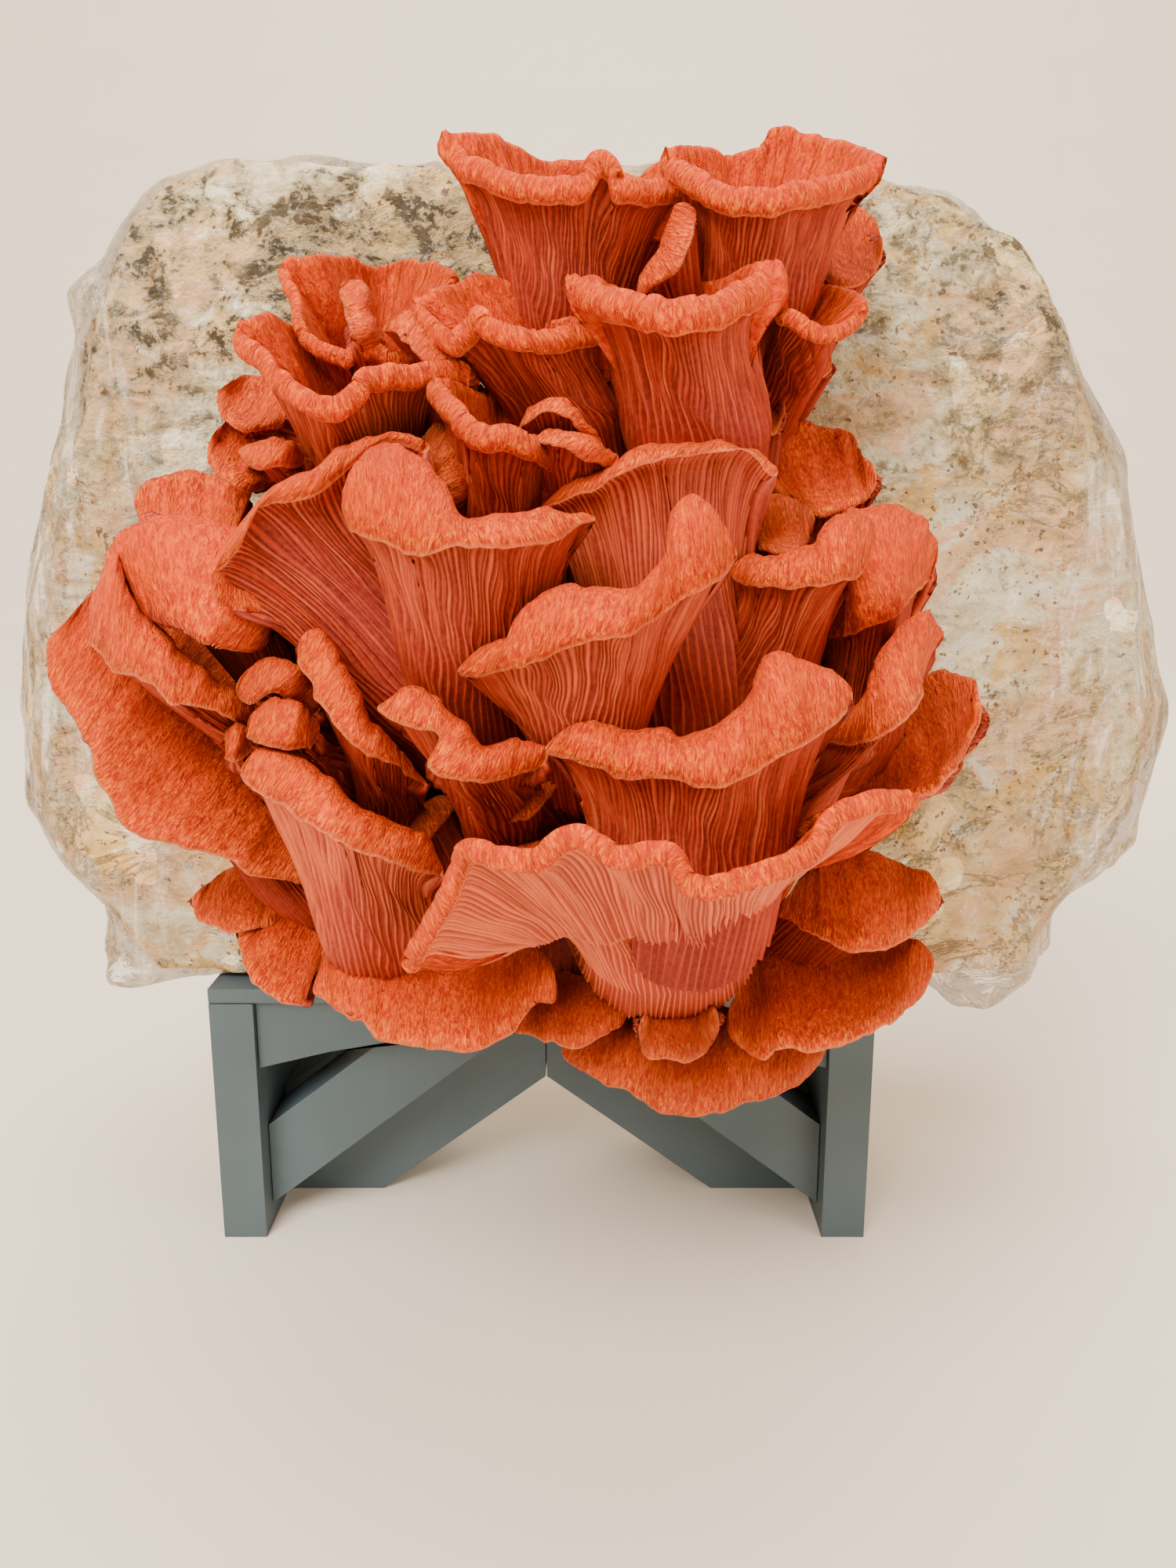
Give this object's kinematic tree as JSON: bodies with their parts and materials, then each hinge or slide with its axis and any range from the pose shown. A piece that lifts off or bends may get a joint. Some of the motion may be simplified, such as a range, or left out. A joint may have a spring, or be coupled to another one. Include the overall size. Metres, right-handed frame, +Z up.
{
  "type": "oyster mushroom grow block",
  "caption": "Cluster of coral-pink oyster mushrooms that has grown out of the front of a block of mycelium in a clear bag, resting on a small open stand.",
  "frame": {"origin": "middle of the bottom of the whole object's box, on the surface that the stand's feet rest on", "axes": "+Z up, +X to the right as the cluster is seen from the front, +Y to the back, so the mushrooms grow towards -Y"},
  "size_m": [0.3242, 0.247, 0.2826],
  "materials": {
    "cap_skin": "soft matte velvet, coral pink to orange, with fine gills below",
    "mycelium": "matte cream mycelium over straw and sawdust",
    "clear_film": "clear glossy wrinkled film",
    "grey_print": "matte teal-grey plastic"
  },
  "bodies": {
    "root": {"mushroom_top_left": "cap_skin", "mushroom_top_right": "cap_skin", "mushroom_top_flap": "cap_skin", "mushroom_top_back": "cap_skin", "mushroom_right_small": "cap_skin", "mushroom_right_bud": "cap_skin", "mushroom_upper_centre": "cap_skin", "mushroom_middle_left": "cap_skin", "mushroom_upper_left": "cap_skin", "mushroom_fold_strip": "cap_skin", "mushroom_left_cap": "cap_skin", "mushroom_left_lobe_upper": "cap_skin", "mushroom_left_lobe_lower": "cap_skin", "mushroom_left_lobe_curl": "cap_skin", "mushroom_folded": "cap_skin", "mushroom_brown_tube": "cap_skin", "mushroom_crescent_back": "cap_skin", "mushroom_crescent_front": "cap_skin", "mushroom_big_fan": "cap_skin", "mushroom_curled": "cap_skin", "mushroom_central_fan": "cap_skin", "mushroom_small_back": "cap_skin", "mushroom_right_upper": "cap_skin", "mushroom_small_dark": "cap_skin", "mushroom_right_middle": "cap_skin", "mushroom_right_cap": "cap_skin", "mushroom_tongue": "cap_skin", "mushroom_right_lower": "cap_skin", "mushroom_scroll": "cap_skin", "mushroom_near_crown": "cap_skin", "mushroom_great_lower": "cap_skin", "mushroom_lower_small": "cap_skin", "mushroom_bottom_right": "cap_skin", "mushroom_bottom_lobe": "cap_skin", "mushroom_bottom_centre": "cap_skin", "mushroom_bottom_inner": "cap_skin", "mushroom_bottom_left": "cap_skin", "mushroom_left_lower": "cap_skin", "mushroom_left_small": "cap_skin", "mushroom_left_big": "cap_skin", "mushroom_left_ribbon": "cap_skin", "mushroom_left_curled": "cap_skin", "mushroom_diagonal": "cap_skin", "mushroom_lump_upper": "cap_skin", "mushroom_lump_middle": "cap_skin", "mushroom_narrow": "cap_skin", "mushroom_centre_curled": "cap_skin", "mushroom_leaf": "cap_skin", "mushroom_bud": "cap_skin", "cluster_base": "mycelium", "substrate_block": "mycelium", "bag_film": "clear_film", "stand_leg_left": "grey_print", "stand_leg_right": "grey_print", "stand_top": "grey_print", "stand_apron": "grey_print", "stand_brace_left": "grey_print", "stand_brace_right": "grey_print", "stand_rib_left": "grey_print", "stand_rib_right": "grey_print"}
  },
  "joints": []
}
